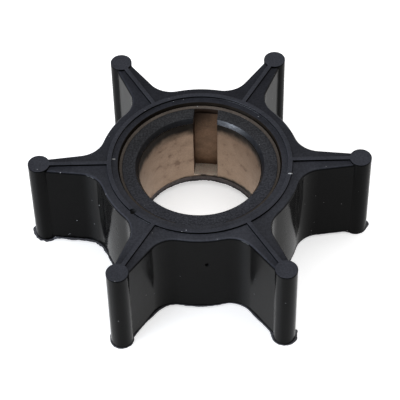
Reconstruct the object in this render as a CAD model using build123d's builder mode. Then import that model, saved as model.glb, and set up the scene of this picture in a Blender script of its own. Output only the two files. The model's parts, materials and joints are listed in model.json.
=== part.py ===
from build123d import *
import os

os.makedirs("parts", exist_ok=True)

# Flexible water pump impeller: a rubber moulding bonded on to a keyed bronze bush.
# Millimetres. The origin is on the bore's axis, at the level the impeller rests on.

# Bronze bush: the bore and keyway set its wall, and its wall sets the hub
bore_radius = 7.5
keyway_width = 3.0
keyway_depth = 1.85
keyway_wall = 0.5
keyway_angle = 84.2
keyway_floor_thickness = 0.35
rim_thickness = 0.35
rim_bevel = 0.15
bush_inset = 0.75
seat_depth = 0.85

# Rubber moulding, seen from above
vane_count = 6
bead_circle_radius = 19.65
bead_radius = 1.35
hub_wall = 2.6
vane_root_thickness = 4.05
vane_tip_thickness = 1.9
root_fillet = 3.2
ring_ledge = 1.1
ring_width = 0.6
rib_width = 0.56

# Rubber moulding, along the axis
height = 13.2
relief_height = 0.3
face_edge_radius = 0.3

# Rubber facings in the two ends of the bush, and the groove round its rim
facing_clearance = 0.05
lip_flare = 0.35
moat_width = 0.15
feed_notch_width = 6.0

# Radii that follow
keyway_reach = bore_radius + keyway_depth
bush_radius = keyway_reach + keyway_wall
seat_radius = bush_radius - rim_thickness
facing_radius = bore_radius + facing_clearance
moat_radius = bush_radius + moat_width
hub_radius = bush_radius + hub_wall
ring_outer = hub_radius - ring_ledge
ring_inner = ring_outer - ring_width

# Levels that follow
face_bottom = relief_height
face_top = height - relief_height
bush_bottom = bush_inset
bush_top = height - bush_inset
facing_bottom = bush_bottom + rim_bevel
facing_top = bush_top - rim_bevel
seat_bottom = bush_bottom + seat_depth
seat_top = bush_top - seat_depth
facing_thickness = facing_top - seat_top
keyway_floor = seat_bottom + keyway_floor_thickness


with BuildPart() as rubber_body:
    # Hub and tapered vanes, with a wide fillet where each vane leaves the hub
    with BuildSketch(Plane.XY.offset(face_bottom)):
        Circle(hub_radius)
        with PolarLocations(0, vane_count):
            Polygon(
                (ring_inner, -vane_root_thickness / 2),
                (bead_circle_radius, -vane_tip_thickness / 2),
                (bead_circle_radius, vane_tip_thickness / 2),
                (ring_inner, vane_root_thickness / 2),
                align=None,
            )
        root_corners = vertices().sort_by_distance((0, 0, 0))[: 2 * vane_count]
        fillet(root_corners, root_fillet)
    extrude(amount=face_top - face_bottom)
    fillet(faces().sort_by(Axis.Z)[-1].edges(), face_edge_radius)

    # Full-height bead at each vane tip, raised ring on the hub and raised rib along each vane
    with BuildSketch():
        with PolarLocations(bead_circle_radius, vane_count):
            Circle(bead_radius)
        with PolarLocations(0, vane_count):
            Rectangle(bead_circle_radius, rib_width, align=(Align.MIN, Align.CENTER))
        Circle(ring_outer)
        Circle(ring_inner, mode=Mode.SUBTRACT)
    extrude(amount=height)

    # Seat for the bush, and the narrow groove left round its rim at both ends
    with BuildSketch():
        Circle(bush_radius)
    extrude(amount=height, mode=Mode.SUBTRACT)
    with BuildSketch(Plane.XY.offset(facing_top)):
        Circle(moat_radius)
    extrude(amount=height - facing_top, mode=Mode.SUBTRACT)
    with BuildSketch():
        Circle(moat_radius)
    extrude(amount=facing_bottom, mode=Mode.SUBTRACT)

    # Rubber facings over the ends of the bush, flared at the top and straight at the bottom
    with BuildSketch(Plane.XZ):
        Polygon(
            (facing_radius, seat_top),
            (seat_radius, seat_top),
            (seat_radius, facing_top),
            (facing_radius + lip_flare, facing_top),
            align=None,
        )
        Polygon(
            (facing_radius, facing_bottom),
            (seat_radius, facing_bottom),
            (seat_radius, seat_bottom),
            (facing_radius, seat_bottom),
            align=None,
        )
    revolve(axis=Axis.Z)
    with BuildSketch(Plane.XY.offset(seat_top)):
        with PolarLocations(0, 1, start_angle=keyway_angle):
            Rectangle(seat_radius, keyway_width, align=(Align.MIN, Align.CENTER))
    extrude(amount=facing_thickness, mode=Mode.SUBTRACT)

    # Rubber that fills the feed notches and joins the facings to the hub
    for level in (facing_bottom, seat_top):
        with BuildSketch(Plane.XY.offset(level)):
            Circle(bush_radius)
            Rectangle(feed_notch_width, bush_radius, align=(Align.CENTER, Align.MAX), mode=Mode.INTERSECT)
            Circle(seat_radius, mode=Mode.SUBTRACT)
        extrude(amount=facing_thickness)

rubber_body.part.label = "rubber_body"
export_step(rubber_body.part, "parts/rubber_body.step")


with BuildPart() as bronze_bush:
    # Turned sleeve with a counterbore and a thin bevelled rim at each end
    with BuildSketch(Plane.XZ):
        Polygon(
            (bore_radius, seat_bottom),
            (seat_radius, seat_bottom),
            (seat_radius, facing_bottom),
            (bush_radius, bush_bottom),
            (bush_radius, bush_top),
            (seat_radius, facing_top),
            (seat_radius, seat_top),
            (bore_radius, seat_top),
            align=None,
        )
    revolve(axis=Axis.Z)

    # Keyway, stopped short of the lower end
    with BuildSketch(Plane.XY.offset(keyway_floor)):
        with PolarLocations(0, 1, start_angle=keyway_angle):
            Rectangle(keyway_reach, keyway_width, align=(Align.MIN, Align.CENTER))
    extrude(amount=seat_top - keyway_floor, mode=Mode.SUBTRACT)

    # Feed notches through the two rims
    for level in (bush_bottom, seat_top):
        with BuildSketch(Plane.XY.offset(level)):
            Rectangle(feed_notch_width, hub_radius, align=(Align.CENTER, Align.MAX))
            Circle(seat_radius, mode=Mode.SUBTRACT)
        extrude(amount=seat_depth, mode=Mode.SUBTRACT)

bronze_bush.part.label = "bronze_bush"
export_step(bronze_bush.part, "parts/bronze_bush.step")
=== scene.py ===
"""Looks of a flexible pump impeller: rubber moulding, flash, bronze bush and a studio."""
import json
import math

import bmesh
import bpy
from mathutils import Matrix, Vector, noise
from mathutils.bvhtree import BVHTree


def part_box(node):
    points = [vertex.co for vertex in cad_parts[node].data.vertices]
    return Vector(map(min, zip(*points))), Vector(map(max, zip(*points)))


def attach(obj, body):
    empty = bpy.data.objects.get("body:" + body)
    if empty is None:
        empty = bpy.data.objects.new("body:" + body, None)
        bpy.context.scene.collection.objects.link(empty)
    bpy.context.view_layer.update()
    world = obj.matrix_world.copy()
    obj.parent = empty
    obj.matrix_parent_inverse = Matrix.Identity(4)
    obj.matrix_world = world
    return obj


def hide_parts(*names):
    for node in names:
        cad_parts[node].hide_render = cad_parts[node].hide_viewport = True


bl_info = {
    "name": "Flexible pump impeller",
    "version": (1, 0, 0),
    "blender": (4, 5, 0),
    "location": "3D View > Sidebar > Impeller",
    "description": "Dresses a rubber pump impeller and its bronze bush, in a plain studio",
    "category": "Object",
}

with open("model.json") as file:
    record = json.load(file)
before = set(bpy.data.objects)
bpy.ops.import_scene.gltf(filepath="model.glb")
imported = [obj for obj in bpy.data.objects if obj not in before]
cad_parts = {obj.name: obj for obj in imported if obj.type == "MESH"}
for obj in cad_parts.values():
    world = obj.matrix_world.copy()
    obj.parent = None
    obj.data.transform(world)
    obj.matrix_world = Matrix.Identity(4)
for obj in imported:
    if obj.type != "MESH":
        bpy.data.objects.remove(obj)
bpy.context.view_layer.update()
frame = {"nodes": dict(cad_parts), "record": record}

MM = 0.001
BODY = "root"
MOULDING_LOW, MOULDING_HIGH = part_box("rubber_body")
BORE = next(mount for mount in frame["record"]["mounts"] if mount["name"] == "shaft_bore")
BORE_RADIUS = BORE["dims"]["r_mm"] * MM

# Levels and radii of the moulding, as the solid has them
VANE_COUNT = 6
RELIEF_HEIGHT = 0.3 * MM
BEAD_RADIUS = 1.35 * MM
BEAD_CIRCLE_RADIUS = MOULDING_HIGH.x - BEAD_RADIUS
LOWER_FACE = MOULDING_LOW.z + RELIEF_HEIGHT
UPPER_FACE = MOULDING_HIGH.z - RELIEF_HEIGHT
FACING_LEVEL = 12.3 * MM
FACING_THICKNESS = 0.7 * MM
FACING_OUTER = 9.5 * MM
LIP_OUTER = 7.9 * MM
GROOVE_OUTER = 10.0 * MM
RING_INNER = 10.75 * MM
LOWER_FACING_LEVEL = 0.9 * MM
KEYWAY_FLOOR = 1.95 * MM
# Room that a test leaves at a level or a radius of the solid
MARGIN = 0.1 * MM
# What lies nearer to the axis than this is the wall of the bore
BORE_WALL = BORE_RADIUS + 0.08 * MM

# Distance at which corners of a solid's mesh are taken for one
WELD = 0.0001 * MM
# Edges that turn by more are rounded
ROUNDED_ANGLE = math.radians(35)
# Faces that meet at less share their normals
EVENED_ANGLE = math.radians(40)

# Nearly all of a noise lies between these two values
NOISE_LOW, NOISE_HIGH = 0.3, 0.7
SMOOTH = {"interpolation_type": "SMOOTHSTEP"}
RUBBER_IOR = 1.52
# Dust: radius of a speck in its cell, the share of cells that have none, and how pale it is
DUST_RADIUS, DUST_FREE, DUST_PALENESS = 0.055, 0.6, 0.45
PAPER_GLOW = 0.65
AIR_LIGHT = 0.45


def srgb(colour):
    """Turns a hex colour such as #37363b into linear red, green and blue."""
    channels = [int(colour[place:place + 2], 16) / 255 for place in (1, 3, 5)]
    return [c / 12.92 if c <= 0.04045 else ((c + 0.055) / 1.055) ** 2.4 for c in channels]


class ImpellerRubberSettings(bpy.types.PropertyGroup):
    """Sizes and colours of the rubber moulding."""
    edge_radius: bpy.props.FloatProperty(
        name="Edge radius", description="Rounding of the moulded edges",
        default=0.07 * MM, min=0.0, unit="LENGTH", subtype="DISTANCE")
    black: bpy.props.FloatVectorProperty(
        name="Rubber", description="Colour of the polished walls and of the pits",
        default=srgb("#020202"), min=0.0, max=1.0, subtype="COLOR")
    face: bpy.props.FloatVectorProperty(
        name="Face", description="Colour of the flat end faces",
        default=srgb("#24252a"), min=0.0, max=1.0, subtype="COLOR")
    relief: bpy.props.FloatVectorProperty(
        name="Relief", description="Colour of the matt tops of the beads, ring, ribs and facing",
        default=srgb("#313237"), min=0.0, max=1.0, subtype="COLOR")
    facing: bpy.props.FloatVectorProperty(
        name="Facing", description="Colour of the grainy facings in the ends of the bush",
        default=srgb("#2c2c2d"), min=0.0, max=1.0, subtype="COLOR")
    edge: bpy.props.FloatVectorProperty(
        name="Edge", description="Colour of the edges that are rubbed smooth",
        default=srgb("#16171a"), min=0.0, max=1.0, subtype="COLOR")
    # Painted light: the colour painted pale on the facing at the lower end of the bore
    painted_lower_light: bpy.props.FloatVectorProperty(
        name="Bloom", description="Colour of the dusty facing at the lower end of the bore",
        default=srgb("#807b7c"), min=0.0, max=1.0, subtype="COLOR")
    # Painted shade: the dark colour painted in the groove round the bush
    painted_groove_shade: bpy.props.FloatVectorProperty(
        name="Dirt", description="Colour of the dirt in the groove round the bush",
        default=srgb("#17130f"), min=0.0, max=1.0, subtype="COLOR")
    torn: bpy.props.FloatVectorProperty(
        name="Torn rubber", description="Colour of rubber whose skin is cut, and of the dust on it",
        default=srgb("#8a8a8a"), min=0.0, max=1.0, subtype="COLOR")


class ImpellerFlashSettings(bpy.types.PropertyGroup):
    """Sizes and colour of the thin rubber fin that the mould leaves."""
    thickness: bpy.props.FloatProperty(
        name="Thickness", description="Thickness of the fin at its root",
        default=0.09 * MM, min=0.0, unit="LENGTH", subtype="DISTANCE")
    # Partly painted light: the fin's torn rubber colour is raised so that the shaded fin looks lit
    flash: bpy.props.FloatVectorProperty(
        name="Flash", description="Colour of the thin torn rubber of the fin",
        default=srgb("#46464a"), min=0.0, max=1.0, subtype="COLOR")
    step: bpy.props.FloatProperty(
        name="Step", description="Distance between two sections of the fin",
        default=0.09 * MM, min=0.01 * MM, unit="LENGTH", subtype="DISTANCE")


class ImpellerBushSettings(bpy.types.PropertyGroup):
    """Sizes and colours of the bronze bush."""
    edge_radius: bpy.props.FloatProperty(
        name="Edge radius", description="Rounding of the turned edges",
        default=0.05 * MM, min=0.0, unit="LENGTH", subtype="DISTANCE")
    bronze: bpy.props.FloatVectorProperty(
        name="Bronze", description="Colour of the clean bronze",
        default=srgb("#a38d7a"), min=0.0, max=1.0, subtype="COLOR")
    tarnish: bpy.props.FloatVectorProperty(
        name="Tarnish", description="Colour of the tarnished bronze",
        default=srgb("#8d7767"), min=0.0, max=1.0, subtype="COLOR")
    # Partly painted shade: the keyway walls are painted browner than the bore, partly for the shade
    # of the narrow slot
    keyway: bpy.props.FloatVectorProperty(
        name="Keyway", description="Colour of the brown walls of the keyway",
        default=srgb("#7c6553"), min=0.0, max=1.0, subtype="COLOR")
    # Painted light: the keyway's floor is painted near white, as lit from above
    keyway_floor_light: bpy.props.FloatVectorProperty(
        name="Keyway floor", description="Colour of the clean floor of the keyway",
        default=srgb("#ffeedd"), min=0.0, max=1.0, subtype="COLOR")
    # Painted shade: the dark colour painted at the keyway's open end, at its foot and on the ledge
    # above it
    keyway_shade: bpy.props.FloatVectorProperty(
        name="Keyway end", description="Colour of the keyway at its open end",
        default=srgb("#2d231d"), min=0.0, max=1.0, subtype="COLOR")
    # Colour of the darker bands painted at both ends of the bore
    bore_end_dark: bpy.props.FloatVectorProperty(
        name="Smear", description="Colour of the rubber smeared on the bronze",
        default=srgb("#25211d"), min=0.0, max=1.0, subtype="COLOR")
    rim: bpy.props.FloatVectorProperty(
        name="Rim", description="Colour of the dull rim between the two rubber faces",
        default=srgb("#4a443f"), min=0.0, max=1.0, subtype="COLOR")


class ImpellerStageSettings(bpy.types.PropertyGroup):
    """Camera and studio."""
    view_azimuth: bpy.props.FloatProperty(
        name="View azimuth", description="Turn of the camera round the impeller",
        default=math.radians(0.1319), subtype="ANGLE")
    view_elevation: bpy.props.FloatProperty(
        name="View elevation", description="Height of the camera above the horizon",
        default=math.radians(49.927), subtype="ANGLE")
    view_roll: bpy.props.FloatProperty(
        name="View roll", description="Tilt of the camera about its own axis",
        default=math.radians(-1.2568), subtype="ANGLE")
    view_distance: bpy.props.FloatProperty(
        name="View distance", description="Distance from the camera to the impeller",
        default=227.206 * MM, unit="LENGTH", subtype="DISTANCE")
    view_right: bpy.props.FloatProperty(
        name="View right", description="How far the impeller lies right of the view's middle",
        default=0.151 * MM, unit="LENGTH", subtype="DISTANCE")
    view_up: bpy.props.FloatProperty(
        name="View up", description="How far the impeller lies above the view's middle",
        default=-3.673 * MM, unit="LENGTH", subtype="DISTANCE")
    lens: bpy.props.FloatProperty(
        name="Lens", description="Focal length of the camera in millimetres",
        default=160.295, min=1.0)
    floor: bpy.props.FloatVectorProperty(
        name="Floor", description="Colour of the studio floor",
        default=srgb("#e9e9e9"), min=0.0, max=1.0, subtype="COLOR")
    floor_size: bpy.props.FloatProperty(
        name="Floor size", description="Width of the studio floor",
        default=8.0, min=0.1, unit="LENGTH", subtype="DISTANCE")


def node(tree, kind, inputs=(), **settings):
    """Adds a node with its settings, and fills its inputs with values or with other nodes.

    An input that is a node takes that node's first output in use.
    """
    made = tree.nodes.new(kind)
    for key, value in settings.items():
        setattr(made, key, value)
    for key, value in dict(inputs).items():
        if isinstance(value, bpy.types.Node):
            value = next(output for output in value.outputs if output.enabled)
        if isinstance(value, bpy.types.NodeSocket):
            tree.links.new(value, made.inputs[key])
        else:
            made.inputs[key].default_value = value
    return made


def new_material(name):
    """Starts an empty node material and gives it with its tree."""
    material = bpy.data.materials.new(name)
    material.use_nodes = True
    material.node_tree.nodes.clear()
    return material, material.node_tree


def per_mm(size_mm):
    """Texture scale that gives a pattern of that size, because object coordinates are in metres."""
    return 1.0 / (size_mm * MM)


def colour(values):
    """Adds the full alpha that a colour socket takes."""
    return (*values, 1.0)


def location(tree):
    """Gives a point's place, its coordinates one by one, its distance from the axis and its tilt.

    The tilt is 1 where the surface faces up, -1 where it faces down and 0 on an upright wall.
    """
    texture = node(tree, "ShaderNodeTexCoord").outputs
    place = texture["Object"]
    axes = node(tree, "ShaderNodeSeparateXYZ", {"Vector": place}).outputs
    across = node(tree, "ShaderNodeVectorMath", {0: place, 1: (1, 1, 0)}, operation="MULTIPLY")
    radius = node(tree, "ShaderNodeVectorMath", {0: across}, operation="LENGTH")
    upward = node(tree, "ShaderNodeSeparateXYZ", {"Vector": texture["Normal"]}).outputs["Z"]
    return place, axes, radius, upward


def overlap(tree, *masks):
    """Multiplies masks and shares, so that only what they have in common is left."""
    shared, *others = masks
    for mask in others:
        shared = node(tree, "ShaderNodeMath", {0: shared, 1: mask}, operation="MULTIPLY")
    return shared


def between(tree, value, low, high):
    """Gives 1 where a value in metres lies between two levels, and 0 elsewhere."""
    return overlap(
        tree,
        node(tree, "ShaderNodeMath", {0: value, 1: low}, operation="GREATER_THAN"),
        node(tree, "ShaderNodeMath", {0: value, 1: high}, operation="LESS_THAN"))


def painted(tree, shade, *coats):
    """Lays coats over a shade in turn. Each is a mask and the colour that shows where it is 1."""
    for mask, coat in coats:
        shade = node(tree, "ShaderNodeMix", {
            "Factor": mask, "A": shade, "B": coat}, data_type="RGBA")
    return shade


def mottled(tree, shade, noise_value, depth):
    """Makes a colour lighter and darker by that share as a noise goes up and down."""
    tone = node(tree, "ShaderNodeMapRange", {
        "Value": noise_value, "From Min": NOISE_LOW, "From Max": NOISE_HIGH,
        "To Min": 1.0 - depth, "To Max": 1.0 + depth}, **SMOOTH)
    return node(tree, "ShaderNodeMix", {"Factor": 1.0, "A": shade, "B": tone},
                data_type="RGBA", blend_type="MULTIPLY")


def nitrile_rubber():
    """Black nitrile rubber, compression moulded: dark polished walls, greyer ends, matt relief."""
    settings = bpy.context.scene.impeller_rubber
    material, tree = new_material("moulded_nitrile_rubber")
    place, axes, radius, upward = location(tree)
    # The mould's blasted skin is finer than a pixel, so its grain is drawn coarse enough to show
    grain = node(tree, "ShaderNodeTexNoise", {
        "Vector": place, "Scale": per_mm(0.22), "Detail": 2.0})
    waves = node(tree, "ShaderNodeTexNoise", {
        "Vector": place, "Scale": per_mm(2.4), "Detail": 3.0})

    # The walls follow polished steel, and the ends a ground one that leaves the rubber greyer
    level = node(tree, "ShaderNodeMath", {0: upward}, operation="ABSOLUTE")
    flat = node(tree, "ShaderNodeMapRange", {
        "Value": level, "From Min": 0.5, "From Max": 0.95}, **SMOOTH)
    relief = between(tree, axes["Z"], UPPER_FACE + MARGIN, MOULDING_HIGH.z + 1 * MM)
    groove_end = GROOVE_OUTER + 0.03 * MM
    inner = between(tree, radius, 0.0, groove_end)
    matt = node(tree, "ShaderNodeMath", {0: relief, 1: inner}, operation="MAXIMUM")

    # Painted sheen: the sunk face of the hub and the facing are painted paler towards the front
    painted_sheen_ramp = node(tree, "ShaderNodeMapRange", {
        "Value": axes["Y"], "From Min": 14 * MM, "From Max": -12 * MM}, **SMOOTH)
    hub = node(tree, "ShaderNodeMapRange", {
        "Value": radius, "From Min": 20 * MM, "From Max": 12.5 * MM}, **SMOOTH)
    front = overlap(tree, painted_sheen_ramp, hub)
    pale = colour(settings.relief)
    facing = painted(tree, colour(settings.facing), (front, pale))
    # Painted light: the facing at the lower end of the bore is painted pale
    low = node(tree, "ShaderNodeMath", {
        0: axes["Z"], 1: LOWER_FACING_LEVEL + FACING_THICKNESS + MARGIN}, operation="LESS_THAN")
    ends = painted(
        tree, colour(settings.face), (front, pale), (relief, pale),
        (inner, mottled(tree, facing, grain, 0.22)),
        (overlap(tree, inner, low), colour(settings.painted_lower_light)))

    # Painted shade: the groove round the bush is painted dark
    skinned = node(tree, "ShaderNodeMath", {0: flat, 1: inner}, operation="MAXIMUM")
    groove = between(tree, radius, GROOVE_OUTER - 0.13 * MM, groove_end)
    shade = painted(
        tree, colour(settings.black), (skinned, ends), (groove, colour(settings.painted_groove_shade)))
    shade = mottled(tree, mottled(tree, shade, grain, 0.16), waves, 0.1)

    # Dust: some of the cells, which are about a millimetre wide, hold a pale speck
    cells = node(tree, "ShaderNodeTexVoronoi", {"Vector": place, "Scale": per_mm(1.1)}).outputs
    speck = node(tree, "ShaderNodeMath", {
        0: cells["Distance"], 1: DUST_RADIUS}, operation="LESS_THAN")
    chance = node(tree, "ShaderNodeSeparateColor", {"Color": cells["Color"]}).outputs["Red"]
    chosen = node(tree, "ShaderNodeMath", {0: chance, 1: DUST_FREE}, operation="GREATER_THAN")
    dust = overlap(tree, speck, chosen, DUST_PALENESS)
    shade = painted(tree, shade, (dust, colour(settings.torn)))

    broad = node(tree, "ShaderNodeBump", {
        "Height": waves, "Strength": 0.3, "Distance": 0.05 * MM})
    fine = node(tree, "ShaderNodeBump", {
        "Height": grain, "Normal": broad, "Strength": 0.6, "Distance": 0.016 * MM})
    # The skin is duller towards the back, and has no polish at all on the matt relief
    glossy = node(tree, "ShaderNodeMath", {0: 1.0, 1: matt}, operation="SUBTRACT")
    nearness = node(tree, "ShaderNodeMapRange", {
        "Value": axes["Y"], "From Min": -14 * MM, "From Max": 14 * MM,
        "To Min": 1.0, "To Max": 0.55}, **SMOOTH)
    # The draw out of the mould leaves upright marks, which spread reflections along the axis
    drawn = node(tree, "ShaderNodeCombineXYZ", {"X": 0.02, "Y": 0.01, "Z": 1.0})
    shader = node(tree, "ShaderNodeBsdfPrincipled", {
        "Base Color": shade, "Roughness": 0.5, "Normal": fine, "Tangent": drawn,
        "IOR": RUBBER_IOR, "Specular IOR Level": 0.018, "Anisotropic": 0.9,
        "Coat Weight": overlap(tree, glossy, nearness), "Coat IOR": 1.12,
        "Coat Roughness": 0.08, "Coat Normal": fine})
    node(tree, "ShaderNodeOutputMaterial", {"Surface": shader})
    return material


def rubbed_rubber():
    """Nitrile rubber on edges and on the lip that the shaft rubs: smooth, so it catches light."""
    settings = bpy.context.scene.impeller_rubber
    material, tree = new_material("rubbed_nitrile_rubber")
    place = node(tree, "ShaderNodeTexCoord").outputs["Object"]
    # The scuffs are drawn coarser than they are, so that they show
    grain = node(tree, "ShaderNodeTexNoise", {
        "Vector": place, "Scale": per_mm(0.3), "Detail": 2.0})
    roughness = node(tree, "ShaderNodeMapRange", {
        "Value": grain, "From Min": NOISE_LOW, "From Max": NOISE_HIGH,
        "To Min": 0.3, "To Max": 0.45}, **SMOOTH)
    shader = node(tree, "ShaderNodeBsdfPrincipled", {
        "Base Color": mottled(tree, colour(settings.edge), grain, 0.3),
        "Roughness": roughness, "IOR": RUBBER_IOR, "Specular IOR Level": 0.2})
    node(tree, "ShaderNodeOutputMaterial", {"Surface": shader})
    return material


def bare_rubber(name, shade):
    """Nitrile rubber without its moulded skin, rough with tiny crumbs."""
    material, tree = new_material(name)
    place = node(tree, "ShaderNodeTexCoord").outputs["Object"]
    # The crumbs are drawn coarser than they are, so that they show
    crumbs = node(tree, "ShaderNodeTexNoise", {
        "Vector": place, "Scale": per_mm(0.12), "Detail": 2.0})
    bump = node(tree, "ShaderNodeBump", {
        "Height": crumbs, "Strength": 0.6, "Distance": 0.02 * MM})
    shader = node(tree, "ShaderNodeBsdfPrincipled", {
        "Base Color": mottled(tree, colour(shade), crumbs, 0.3),
        "Roughness": 0.8, "Specular IOR Level": 0.2, "Normal": bump})
    node(tree, "ShaderNodeOutputMaterial", {"Surface": shader})
    return material


def torn_rubber():
    """Nitrile rubber where its skin is scraped off: paler than the skin, and quite matt."""
    return bare_rubber("torn_nitrile_rubber", bpy.context.scene.impeller_rubber.torn)


def pitted_rubber():
    """Nitrile rubber inside a deep pit: black, with no polished skin to reflect the room."""
    return bare_rubber("pitted_nitrile_rubber", bpy.context.scene.impeller_rubber.black)


def feathered_rubber():
    """Nitrile rubber of the flash: torn to a thin matt edge, painted greyer than the walls, partly
    as painted light on the shaded fin.
    """
    return bare_rubber("feathered_nitrile_rubber", bpy.context.scene.impeller_flash.flash)


def turned_bronze():
    """Tin bronze, bored on a lathe: warm brown metal, faintly tarnished, darker at both ends of the
    bore, with painted shade and painted light in the keyway.
    """
    settings = bpy.context.scene.impeller_bush
    material, tree = new_material("turned_tin_bronze")
    place, axes, radius, upward = location(tree)
    # Tarnish lies in patches a millimetre wide, on a grain that is drawn coarse enough to show
    patches = node(tree, "ShaderNodeTexNoise", {
        "Vector": place, "Scale": per_mm(1.1), "Detail": 5.0})
    grain = node(tree, "ShaderNodeTexNoise", {
        "Vector": place, "Scale": per_mm(0.2), "Detail": 2.0})
    tarnished = node(tree, "ShaderNodeMapRange", {
        "Value": patches, "From Min": 0.56, "From Max": 0.72}, **SMOOTH)

    # The keyway was cut last and never rubbed by the shaft, so its walls are browner; they are also
    # painted darker as the shade of the narrow slot.
    # Painted shade makes them darkest at the open end, further down on the left, and again at the
    # foot
    level = node(tree, "ShaderNodeMath", {0: upward}, operation="ABSOLUTE")
    upright = node(tree, "ShaderNodeMapRange", {
        "Value": level, "From Min": 0.7, "From Max": 0.3}, **SMOOTH)
    lean = node(tree, "ShaderNodeMath", {
        0: axes["X"], 1: -0.9, 2: axes["Z"]}, operation="MULTIPLY_ADD")
    open_end_shade = node(tree, "ShaderNodeMapRange", {
        "Value": lean, "From Min": FACING_LEVEL - 5.5 * MM, "From Max": FACING_LEVEL - 0.3 * MM,
    }, **SMOOTH)
    foot = node(tree, "ShaderNodeMapRange", {
        "Value": axes["Z"], "From Min": KEYWAY_FLOOR + 1.8 * MM, "From Max": KEYWAY_FLOOR,
    }, **SMOOTH)
    dark = colour(settings.keyway_shade)
    brown = painted(
        tree, colour(settings.keyway), (open_end_shade, dark), (overlap(tree, foot, 0.6), dark))
    brown = mottled(tree, mottled(tree, brown, patches, 0.25), grain, 0.12)
    keyway = between(tree, radius, BORE_WALL, BORE_RADIUS + 3 * MM)
    # Painted shade: the ledge at the top of the keyway is painted with the dark shade colour
    above = node(tree, "ShaderNodeMath", {
        0: axes["Z"], 1: FACING_LEVEL - FACING_THICKNESS - MARGIN}, operation="GREATER_THAN")
    ledge = between(tree, radius, BORE_RADIUS + 1.5 * MM, FACING_OUTER + 0.05 * MM)
    lying = node(tree, "ShaderNodeMath", {0: 1.0, 1: upright}, operation="SUBTRACT")
    # Painted light: the keyway's floor is painted near white, as lit from above
    floor = between(tree, axes["Z"], KEYWAY_FLOOR - MARGIN, KEYWAY_FLOOR + MARGIN)

    # Both ends of the bore are painted darker, deeper on the left
    slanted = node(tree, "ShaderNodeMath", {
        0: axes["X"], 1: -0.06, 2: axes["Z"]}, operation="MULTIPLY_ADD")
    swing = node(tree, "ShaderNodeMath", {0: patches, 1: 0.5}, operation="SUBTRACT")
    wandering = node(tree, "ShaderNodeMath", {
        0: swing, 1: 1.1 * MM, 2: slanted}, operation="MULTIPLY_ADD")
    upper = node(tree, "ShaderNodeMapRange", {
        "Value": wandering,
        "From Min": FACING_LEVEL - 3.0 * MM, "From Max": FACING_LEVEL - 1.3 * MM}, **SMOOTH)
    lower = node(tree, "ShaderNodeMapRange", {
        "Value": wandering,
        "From Min": KEYWAY_FLOOR + 0.2 * MM, "From Max": KEYWAY_FLOOR - 0.3 * MM}, **SMOOTH)
    bore_end_darkening = node(tree, "ShaderNodeMath", {0: upper, 1: lower}, operation="MAXIMUM")
    bore = node(tree, "ShaderNodeMath", {0: radius, 1: BORE_WALL}, operation="LESS_THAN")

    outside = between(tree, radius, FACING_OUTER - MARGIN, FACING_OUTER + 1 * MM)
    topmost = node(tree, "ShaderNodeMath", {
        0: axes["Z"], 1: FACING_LEVEL - 0.08 * MM}, operation="GREATER_THAN")
    shade = painted(
        tree, mottled(tree, colour(settings.bronze), grain, 0.07),
        (tarnished, colour(settings.tarnish)),
        (overlap(tree, keyway, upright), brown),
        (overlap(tree, ledge, above), dark),
        (overlap(tree, floor, lying), mottled(tree, colour(settings.keyway_floor_light), grain, 0.1)),
        (overlap(tree, bore_end_darkening, bore), colour(settings.bore_end_dark)),
        (overlap(tree, outside, topmost), mottled(tree, colour(settings.rim), grain, 0.15)))
    roughness = node(tree, "ShaderNodeMapRange", {
        "Value": patches, "From Min": NOISE_LOW, "From Max": NOISE_HIGH,
        "To Min": 0.5, "To Max": 0.6}, **SMOOTH)
    shader = node(tree, "ShaderNodeBsdfPrincipled", {
        "Base Color": shade, "Metallic": 1.0, "Roughness": roughness})
    node(tree, "ShaderNodeOutputMaterial", {"Surface": shader})
    return material


def studio_paper():
    """White studio paper: it glows as the camera and reflections see it, under a soft shadow."""
    settings = bpy.context.scene.impeller_stage
    material, tree = new_material("studio_paper")
    ray = node(tree, "ShaderNodeLightPath").outputs
    seen = ray["Is Camera Ray"]
    for kind in ("Is Glossy Ray", "Is Transmission Ray"):
        seen = node(tree, "ShaderNodeMath", {0: seen, 1: ray[kind]}, operation="MAXIMUM")
    paper = node(tree, "ShaderNodeBsdfPrincipled", {
        "Base Color": colour(settings.floor), "Roughness": 0.9})
    glow = node(tree, "ShaderNodeEmission", {
        "Color": colour(settings.floor), "Strength": overlap(tree, seen, PAPER_GLOW)})
    surface = node(tree, "ShaderNodeAddShader", {0: paper, 1: glow})
    node(tree, "ShaderNodeOutputMaterial", {"Surface": surface})
    return material


def material_of(make, name):
    """Gives the material of that name, and makes it first if the file doesn't have it."""
    return bpy.data.materials.get(name) or make()


def mesh_from(form, name):
    """Turns a form into a mesh, and frees the form."""
    mesh = bpy.data.meshes.new(name)
    form.to_mesh(mesh)
    form.free()
    return mesh


def mesh_object(name, mesh, *materials):
    """Links a mesh into the scene as a piece that rides on the impeller."""
    piece = bpy.data.objects.new(name, mesh)
    bpy.context.scene.collection.objects.link(piece)
    mesh.materials.clear()
    for material in materials:
        mesh.materials.append(material)
    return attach(piece, BODY)


def applied(piece):
    """Turns what the modifiers make of a piece into its own mesh."""
    graph = bpy.context.evaluated_depsgraph_get()
    mesh = bpy.data.meshes.new_from_object(piece.evaluated_get(graph))
    piece.modifiers.clear()
    old = piece.data
    piece.data = mesh
    bpy.data.meshes.remove(old)
    return piece


def solid_form(node_name):
    """Gives the mesh of a solid as a form whose faces are joined at their corners."""
    form = bmesh.new()
    form.from_mesh(frame["nodes"][node_name].data)
    bmesh.ops.remove_doubles(form, verts=form.verts, dist=WELD)
    return form


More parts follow.
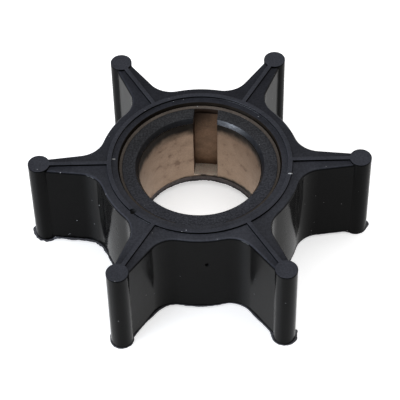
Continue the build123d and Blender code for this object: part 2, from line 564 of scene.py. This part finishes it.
def rounded_copy(node_name, piece_name, radius, stays_sharp, *materials):
    """Copies a solid into a piece with rounded edges, apart from those that stay sharp."""
    form = solid_form(node_name)
    bmesh.ops.dissolve_limit(
        form, angle_limit=math.radians(0.3), verts=form.verts, edges=form.edges)
    weight = form.edges.layers.float.new("bevel_weight_edge")
    for edge in form.edges:
        middle = (edge.verts[0].co + edge.verts[1].co) / 2
        edge[weight] = float(edge.calc_face_angle(0.0) > ROUNDED_ANGLE and not stays_sharp(middle))
    mesh = mesh_from(form, piece_name)
    piece = mesh_object(piece_name, mesh, *materials)
    mesh.shade_smooth()
    mesh.set_sharp_from_angle(angle=ROUNDED_ANGLE)
    rounding = piece.modifiers.new("rounded_edges", "BEVEL")
    rounding.width = radius
    rounding.segments = 3
    rounding.limit_method = "WEIGHT"
    rounding.use_clamp_overlap = True
    return applied(piece)


def even_normals(piece):
    """Lets the larger faces rule the normals of a piece, so that flats and round walls look even.

    Faces that meet at more than EVENED_ANGLE keep a crisp edge between them.
    """
    mesh = piece.data
    least_cosine = math.cos(EVENED_ANGLE)
    faces_at = [[] for _ in mesh.vertices]
    for face in mesh.polygons:
        for vert in face.vertices:
            faces_at[vert].append((face.normal.copy(), face.area))
    normals = []
    for face in mesh.polygons:
        for vert in face.vertices:
            near = (normal * area for normal, area in faces_at[vert]
                    if normal.dot(face.normal) > least_cosine)
            normals.append(sum(near, Vector()).normalized())
    mesh.normals_split_custom_set(normals)


def section_loops(node_name, level):
    """Cuts a solid's mesh at a level and gives the outlines of the cut, the longest one first."""
    form = solid_form(node_name)
    cut = bmesh.ops.bisect_plane(
        form, geom=form.verts[:] + form.edges[:] + form.faces[:],
        plane_co=(0, 0, level), plane_no=(0, 0, 1), dist=0.1 * WELD)
    # A dict keeps its order, so that each outline starts at the same place in every run
    edges = dict.fromkeys(item for item in cut["geom_cut"] if isinstance(item, bmesh.types.BMEdge))
    loops = []
    while edges:
        first = next(iter(edges))
        del edges[first]
        path = list(first.verts)
        while True:
            following = next((edge for edge in path[-1].link_edges if edge in edges), None)
            if following is None:
                break
            del edges[following]
            path.append(following.other_vert(path[-1]))
        loops.append([Vector((vert.co.x, vert.co.y, 0)) for vert in path[:-1]])
    form.free()
    return sorted(loops, key=loop_length, reverse=True)


def loop_length(loop):
    """Gives the way round a closed outline."""
    return sum((loop[i] - loop[i - 1]).length for i in range(len(loop)))


def resampled(loop, step):
    """Walks round a closed outline in even steps, anticlockwise seen from above."""
    turn = sum(loop[i - 1].cross(loop[i]).z for i in range(len(loop)))
    if turn < 0:
        loop = loop[::-1]
    count = round(loop_length(loop) / step)
    stride = loop_length(loop) / count
    points = []
    walked = 0.0
    for i in range(len(loop)):
        start, end = loop[i - 1], loop[i]
        length = (end - start).length
        while len(points) * stride < walked + length and len(points) < count:
            points.append(start.lerp(end, (len(points) * stride - walked) / length))
        walked += length
    return points


def fin(form, points, levels, widths, thickness, drop=0.0, side=1.0):
    """Adds a thin fin along a closed outline, at a level for each point, with its tip dropped.

    It stands out by its widths, or in where side is -1.
    """
    count = len(points)
    rings = []
    for i in range(count):
        along = (points[(i + 2) % count] - points[i - 2]).normalized()
        outward = Vector((along.y, -along.x, 0)) * side
        root = points[i] - outward * thickness
        tip = points[i] + outward * widths[i]
        rings.append([form.verts.new(place) for place in (
            (root.x, root.y, levels[i] + thickness / 2),
            (tip.x, tip.y, levels[i] - drop + thickness / 6),
            (tip.x, tip.y, levels[i] - drop - thickness / 6),
            (root.x, root.y, levels[i] - thickness / 2),
        )])
    for i in range(count):
        for corner in range(4):
            quad = (rings[i - 1][corner], rings[i][corner],
                    rings[i][(corner + 1) % 4], rings[i - 1][(corner + 1) % 4])
            form.faces.new(quad if side > 0 else quad[::-1])


def bead_centre(azimuth):
    """Gives the middle of the bead at an azimuth in degrees."""
    turn = math.radians(azimuth)
    return Vector((math.cos(turn), math.sin(turn), 0)) * BEAD_CIRCLE_RADIUS


class IMPELLER_OT_rubber_moulding(bpy.types.Operator):
    """Make the rubber moulding with rounded edges, in place of the plain solid"""
    bl_idname = "impeller.rubber_moulding"
    bl_label = "Rubber moulding"

    # Finishes of the rubber in the order of the piece's materials, and what makes each of them
    FINISHES = {
        "moulded": nitrile_rubber,
        "rubbed": rubbed_rubber,
        "torn": torn_rubber,
        "pitted": pitted_rubber,
    }
    # Nicks and pits: place and sizes along X, Y and Z in millimetres, and the finish they bare
    NICKS = (
        ((10.96, -2.40, 13.22), (0.70, 0.26, 0.20), "torn"),
        ((-8.06, -7.78, 13.15), (0.90, 0.75, 0.90), "pitted"),
        ((0.68, -12.43, 8.40), (0.66, 1.10, 0.66), "pitted"),
    )

    def cut_nicks(self, piece):
        """Cuts the nicks and pits with one cutter, which is taken away afterwards."""
        form = bmesh.new()
        for place, sizes, bared in self.NICKS:
            matrix = Matrix.Translation(Vector(place) * MM)
            matrix = matrix @ Matrix.Diagonal((*sizes, 1.0)) @ Matrix.Scale(MM, 4)
            made = bmesh.ops.create_icosphere(form, subdivisions=2, radius=0.5, matrix=matrix)
            for face in {face for vert in made["verts"] for face in vert.link_faces}:
                face.material_index = list(self.FINISHES).index(bared)
        mesh = mesh_from(form, "nick_cutter")
        for material in piece.data.materials:
            mesh.materials.append(material)
        cutter = bpy.data.objects.new("nick_cutter", mesh)
        bpy.context.scene.collection.objects.link(cutter)
        cut = piece.modifiers.new("nicks", "BOOLEAN")
        cut.operation = "DIFFERENCE"
        cut.solver = "EXACT"
        cut.object = cutter
        applied(piece)
        bpy.data.objects.remove(cutter)
        bpy.data.meshes.remove(mesh)

    def finish_at(self, place, normal):
        """Tells the flared lip and the fillet at the ring's inner foot from the rest."""
        radius = math.hypot(place.x, place.y)
        lip = (radius < LIP_OUTER + MARGIN and 0.1 < normal.z < 0.9
               and place.z > FACING_LEVEL - FACING_THICKNESS)
        foot = (RING_INNER - 0.2 * MM < radius < RING_INNER + 0.01 * MM
                and 0.1 < normal.z < 0.95 and place.z > UPPER_FACE - 0.01 * MM)
        return "rubbed" if lip or foot else "moulded"

    def execute(self, context):
        settings = context.scene.impeller_rubber
        materials = [material_of(make, f"{finish}_nitrile_rubber")
                     for finish, make in self.FINISHES.items()]
        piece = rounded_copy("rubber_body", "rubber_moulding", settings.edge_radius,
                             lambda place: False, *materials)
        for face in piece.data.polygons:
            finish = self.finish_at(face.center, face.normal)
            face.material_index = list(self.FINISHES).index(finish)
        self.cut_nicks(piece)
        even_normals(piece)
        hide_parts("rubber_body")
        return {"FINISHED"}


class IMPELLER_OT_moulding_flash(bpy.types.Operator):
    """Make the thin ragged fins of rubber along the mould's parting lines"""
    bl_idname = "impeller.moulding_flash"
    bl_label = "Moulding flash"

    # Mean width of the fin at the foot of the outer walls in millimetres, by azimuth in degrees
    WIDTH_BY_AZIMUTH = (
        (0, 0.10), (40, 0.12), (90, 0.10), (140, 0.12), (176, 0.24), (190, 0.32), (200, 0.16),
        (212, 0.08), (225, 0.12), (236, 0.17), (241, 0.14), (245, 0.09), (262, 0.13), (272, 0.22),
        (282, 0.09), (293, 0.10), (299, 0.16), (303, 0.24), (308, 0.14), (318, 0.12), (335, 0.04),
        (352, 0.05), (360, 0.10),
    )
    # Wider stretches at the foot of the front vanes in millimetres: place, extra width, spread
    WALL_LIPS = (((-6.0, -12.7), 0.17, 1.5), ((6.8, -13.2), 0.15, 1.5))
    # Lips at the foot of the beads: azimuth of the bead, azimuth round it, extra width, spread
    BEAD_LIPS = (
        (0, 13, 0.32, 22), (180, 156, 0.28, 20), (240, 158, 0.14, 14),
        (300, 24, 0.16, 16), (300, 172, 0.10, 20), (120, 60, 0.12, 25), (60, 130, 0.10, 20),
    )
    INNER_WIDTH = 0.12
    LEAST_WIDTH = 0.02
    # How far past a bead the fin has stepped up from the bead's foot to the lower face
    STEP_UP = 0.5 * MM
    # How far the inner fin hangs down
    INNER_DROP = 0.1 * MM

    def mean_width(self, azimuth):
        """Reads the table of widths at an azimuth in degrees."""
        table = self.WIDTH_BY_AZIMUTH
        for (low, first), (high, second) in zip(table, table[1:]):
            if low <= azimuth <= high:
                return first + (second - first) * (azimuth - low) / (high - low)
        raise ValueError(f"no width at azimuth {azimuth}")

    def outer_width(self, point):
        """Gives the ragged width of the fin at a place on the outer walls."""
        mean = self.mean_width(math.degrees(math.atan2(point.y, point.x)) % 360)
        wave = noise.noise(point * per_mm(1.3) + Vector((3, 7, 1)))
        tear = noise.noise(point * per_mm(0.32) + Vector((9, 2, 5)))
        width = mean * (1 + 0.5 * wave + 0.4 * tear)
        for bead_azimuth, lip_azimuth, extra, spread in self.BEAD_LIPS:
            offset = point - bead_centre(bead_azimuth)
            if offset.length < BEAD_RADIUS * 1.2:
                around = math.degrees(math.atan2(offset.y, offset.x)) - lip_azimuth
                around = (around + 180) % 360 - 180
                width += extra * math.exp(-(around / spread) ** 2)
        for (x, y), extra, spread in self.WALL_LIPS:
            distance = (point - Vector((x, y, 0)) * MM).length
            width += extra * math.exp(-(distance / (spread * MM)) ** 2)
        return max(width, self.LEAST_WIDTH) * MM

    def outer_level(self, point, thickness):
        """Gives the fin's level: at the beads' foot, and a step up at the vanes and the hub."""
        centres = [bead_centre(360 / VANE_COUNT * i) for i in range(VANE_COUNT)]
        past_bead = min((point - centre).length for centre in centres) - BEAD_RADIUS
        step = min(max(past_bead / self.STEP_UP, 0.0), 1.0)
        return MOULDING_LOW.z + thickness / 2 + RELIEF_HEIGHT * step

    def inner_width(self, point):
        """Gives the ragged width of the fin at a place in the lower end of the bore."""
        wave = noise.noise(point * per_mm(1.1) + Vector((5, 1, 8)))
        tear = noise.noise(point * per_mm(0.28) + Vector((2, 6, 3)))
        return max(self.INNER_WIDTH * (1 + 0.6 * wave + 0.7 * tear), self.LEAST_WIDTH) * MM

    def execute(self, context):
        settings = context.scene.impeller_flash
        thickness = settings.thickness
        mid_wall = (LOWER_FACE + UPPER_FACE) / 2
        mid_facing = LOWER_FACING_LEVEL + FACING_THICKNESS / 2
        outer = resampled(section_loops("rubber_body", mid_wall)[0], settings.step)
        inner = resampled(section_loops("rubber_body", mid_facing)[-1], settings.step)
        form = bmesh.new()
        widths = [self.outer_width(point) for point in outer]
        levels = [self.outer_level(point, thickness) for point in outer]
        fin(form, outer, levels, widths, thickness)
        widths = [self.inner_width(point) for point in inner]
        levels = [LOWER_FACING_LEVEL + thickness / 2] * len(inner)
        fin(form, inner, levels, widths, thickness, drop=self.INNER_DROP, side=-1.0)
        mesh = mesh_from(form, "moulding_flash")
        piece = mesh_object("moulding_flash", mesh,
                            material_of(feathered_rubber, "feathered_nitrile_rubber"))
        mesh.shade_smooth()
        mesh.set_sharp_from_angle(angle=math.radians(50))
        return {"FINISHED"}


class IMPELLER_OT_flash_crumbs(bpy.types.Operator):
    """Make the pale crumbs of torn flash that cling to the impeller"""
    bl_idname = "impeller.flash_crumbs"
    bl_label = "Flash crumbs"

    # Place in millimetres that each crumb is set down nearest to, its width and its length
    CRUMBS = (
        ((-12.32, -2.59, 8.32), 0.16, 0.16), ((7.43, 7.36, 12.9), 0.11, 0.13),
        ((7.42, 3.21, 12.3), 0.10, 0.12), ((-0.15, 9.74, 12.4), 0.12, 0.16),
        ((-19.74, -0.94, 13.2), 0.11, 0.13), ((-16.97, -1.12, 12.76), 0.12, 0.14),
        ((8.61, -17.42, 1.51), 0.12, 0.14), ((-1.89, 10.53, 12.9), 0.09, 0.10),
        ((-3.15, 10.22, 12.9), 0.09, 0.12), ((-10.54, 0.75, 12.95), 0.22, 0.62),
        ((10.96, -2.40, 13.2), 0.22, 0.62), ((-1.74, -10.9, 13.2), 0.11, 0.18),
        ((-2.25, -11.1, 13.2), 0.09, 0.13),
    )
    # Height of a crumb as a share of its width
    CRUMB_HEIGHT = 0.6

    def execute(self, context):
        form = bmesh.new()
        surfaces = []
        for solid in frame["nodes"].values():
            form.from_mesh(solid.data)
            surfaces.append(BVHTree.FromBMesh(form))
            form.clear()
        for place, width, length in self.CRUMBS:
            wanted = Vector(place) * MM
            hits = [surface.find_nearest(wanted) for surface in surfaces]
            spot, outward, *_ = min(hits, key=lambda hit: hit[3])
            sizes = (length * MM, width * MM, self.CRUMB_HEIGHT * width * MM, 1.0)
            turned = outward.to_track_quat("Z", "Y").to_matrix().to_4x4()
            matrix = Matrix.Translation(spot) @ turned @ Matrix.Diagonal(sizes)
            bmesh.ops.create_icosphere(form, subdivisions=1, radius=0.5, matrix=matrix)
        mesh = mesh_from(form, "flash_crumbs")
        piece = mesh_object("flash_crumbs", mesh, material_of(torn_rubber, "torn_nitrile_rubber"))
        mesh.shade_smooth()
        return {"FINISHED"}


class IMPELLER_OT_bronze_bush(bpy.types.Operator):
    """Make the bronze bush with broken edges, in place of the plain solid"""
    bl_idname = "impeller.bronze_bush"
    bl_label = "Bronze bush"

    def in_keyway(self, place):
        """Says whether a place lies on an inner corner of the keyway or on the ledge above it."""
        radius = math.hypot(place.x, place.y)
        across = BORE_RADIUS + 0.3 * MM < radius < FACING_OUTER + 0.02 * MM
        foot = LOWER_FACING_LEVEL + FACING_THICKNESS + MARGIN
        return across and foot < place.z < FACING_LEVEL - MARGIN

    def execute(self, context):
        settings = context.scene.impeller_bush
        piece = rounded_copy("bronze_bush", "turned_bush", settings.edge_radius, self.in_keyway,
                             material_of(turned_bronze, "turned_tin_bronze"))
        even_normals(piece)
        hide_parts("bronze_bush")
        return {"FINISHED"}


class IMPELLER_OT_studio(bpy.types.Operator):
    """Set up the floor, the soft lights and the camera"""
    bl_idname = "impeller.studio"
    bl_label = "Studio"

    # Name, azimuth and elevation in degrees, distance, width and height in metres, watts, colour
    SOFT_BOXES = (
        ("overhead_soft_box", 90, 84, 0.80, 0.80, 0.80, 3.6, "#ffffff"),
        ("left_soft_box", 170, 25, 0.80, 0.50, 0.50, 0.6, "#ffffff"),
        ("right_soft_box", 10, 25, 0.80, 0.50, 0.50, 1.0, "#ffffff"),
        ("front_left_soft_box", 218, 6, 0.80, 0.40, 0.15, 14.0, "#e6f0ff"),
    )

    def camera(self, context):
        """Sets the camera where the settings say, with the impeller's origin off the middle."""
        settings = context.scene.impeller_stage
        turn, rise, roll = settings.view_azimuth, settings.view_elevation, settings.view_roll
        level = Vector((math.cos(turn), math.sin(turn), 0))
        away = Vector((-math.sin(turn), math.cos(turn), 0))
        ahead = away * math.cos(rise) - Vector((0, 0, math.sin(rise)))
        over = level.cross(ahead)
        right = level * math.cos(roll) + over * math.sin(roll)
        up = over * math.cos(roll) - level * math.sin(roll)
        data = bpy.data.cameras.new("studio_camera")
        data.lens = settings.lens
        data.sensor_width = 36.0
        data.clip_start = 0.01
        camera = bpy.data.objects.new("studio_camera", data)
        context.scene.collection.objects.link(camera)
        place = -(right * settings.view_right + up * settings.view_up
                  + ahead * settings.view_distance)
        turned = Matrix((right, up, -ahead)).transposed().to_4x4()
        camera.matrix_world = Matrix.Translation(place) @ turned
        context.scene.camera = camera

    def soft_box(self, context, name, azimuth, elevation, distance, width, height, power, tint):
        """Sets up one soft box that shines at the impeller."""
        data = bpy.data.lights.new(name, "AREA")
        data.shape = "RECTANGLE"
        data.size = width
        data.size_y = height
        data.energy = power
        data.color = srgb(tint)
        lamp = bpy.data.objects.new(name, data)
        context.scene.collection.objects.link(lamp)
        turn, rise = math.radians(azimuth), math.radians(elevation)
        level = Vector((math.cos(turn), math.sin(turn), 0))
        toward = level * math.cos(rise) + Vector((0, 0, math.sin(rise)))
        lamp.location = toward * distance
        lamp.rotation_mode = "QUATERNION"
        lamp.rotation_quaternion = toward.to_track_quat("Z", "Y")

    def floor(self, context):
        """Lays the paper floor under the impeller."""
        form = bmesh.new()
        bmesh.ops.create_grid(
            form, x_segments=1, y_segments=1, size=context.scene.impeller_stage.floor_size / 2)
        mesh = mesh_from(form, "studio_floor")
        mesh.materials.append(studio_paper())
        floor = bpy.data.objects.new("studio_floor", mesh)
        context.scene.collection.objects.link(floor)

    def world(self, context):
        """Fills the room with soft white light."""
        world = bpy.data.worlds.new("studio_air")
        world.use_nodes = True
        tree = world.node_tree
        tree.nodes.clear()
        air = node(tree, "ShaderNodeBackground", {"Color": (1, 1, 1, 1), "Strength": AIR_LIGHT})
        node(tree, "ShaderNodeOutputWorld", {"Surface": air})
        context.scene.world = world

    def execute(self, context):
        self.floor(context)
        self.world(context)
        for box in self.SOFT_BOXES:
            self.soft_box(context, *box)
        self.camera(context)
        context.scene.view_settings.view_transform = "Standard"
        return {"FINISHED"}


class IMPELLER_PT_panel(bpy.types.Panel):
    """Sidebar panel that lists the pieces and their settings"""
    bl_idname = "IMPELLER_PT_panel"
    bl_label = "Flexible pump impeller"
    bl_space_type = "VIEW_3D"
    bl_region_type = "UI"
    bl_category = "Impeller"

    def draw(self, context):
        scene = context.scene
        layout = self.layout
        for operator, settings, names in (
            (IMPELLER_OT_rubber_moulding, scene.impeller_rubber, (
                "edge_radius", "black", "face", "relief", "facing", "edge", "painted_lower_light", "painted_groove_shade",
                "torn")),
            (IMPELLER_OT_moulding_flash, scene.impeller_flash, ("thickness", "step", "flash")),
            (IMPELLER_OT_flash_crumbs, scene.impeller_flash, ()),
            (IMPELLER_OT_bronze_bush, scene.impeller_bush, (
                "edge_radius", "bronze", "tarnish", "keyway", "keyway_floor_light", "keyway_shade",
                "bore_end_dark", "rim")),
            (IMPELLER_OT_studio, scene.impeller_stage, (
                "view_azimuth", "view_elevation", "view_roll", "view_distance", "view_right",
                "view_up", "lens", "floor", "floor_size")),
        ):
            box = layout.box()
            box.operator(operator.bl_idname)
            for name in names:
                box.prop(settings, name)


SETTINGS = {
    "impeller_rubber": ImpellerRubberSettings,
    "impeller_flash": ImpellerFlashSettings,
    "impeller_bush": ImpellerBushSettings,
    "impeller_stage": ImpellerStageSettings,
}
OPERATORS = (
    IMPELLER_OT_rubber_moulding,
    IMPELLER_OT_moulding_flash,
    IMPELLER_OT_flash_crumbs,
    IMPELLER_OT_bronze_bush,
    IMPELLER_OT_studio,
)


def register():
    """Registers the classes and gives each scene its settings."""
    for group in SETTINGS.values():
        bpy.utils.register_class(group)
    for name, group in SETTINGS.items():
        setattr(bpy.types.Scene, name, bpy.props.PointerProperty(type=group))
    for operator in OPERATORS:
        bpy.utils.register_class(operator)
    bpy.utils.register_class(IMPELLER_PT_panel)


def unregister():
    """Takes back what register did."""
    bpy.utils.unregister_class(IMPELLER_PT_panel)
    for operator in reversed(OPERATORS):
        bpy.utils.unregister_class(operator)
    for name, group in SETTINGS.items():
        delattr(bpy.types.Scene, name)
        bpy.utils.unregister_class(group)


def main():
    """Dresses the impeller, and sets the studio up."""
    register()
    bpy.ops.impeller.rubber_moulding()
    bpy.ops.impeller.moulding_flash()
    bpy.ops.impeller.flash_crumbs()
    bpy.ops.impeller.bronze_bush()
    bpy.ops.impeller.studio()


if __name__ == "__main__":
    main()
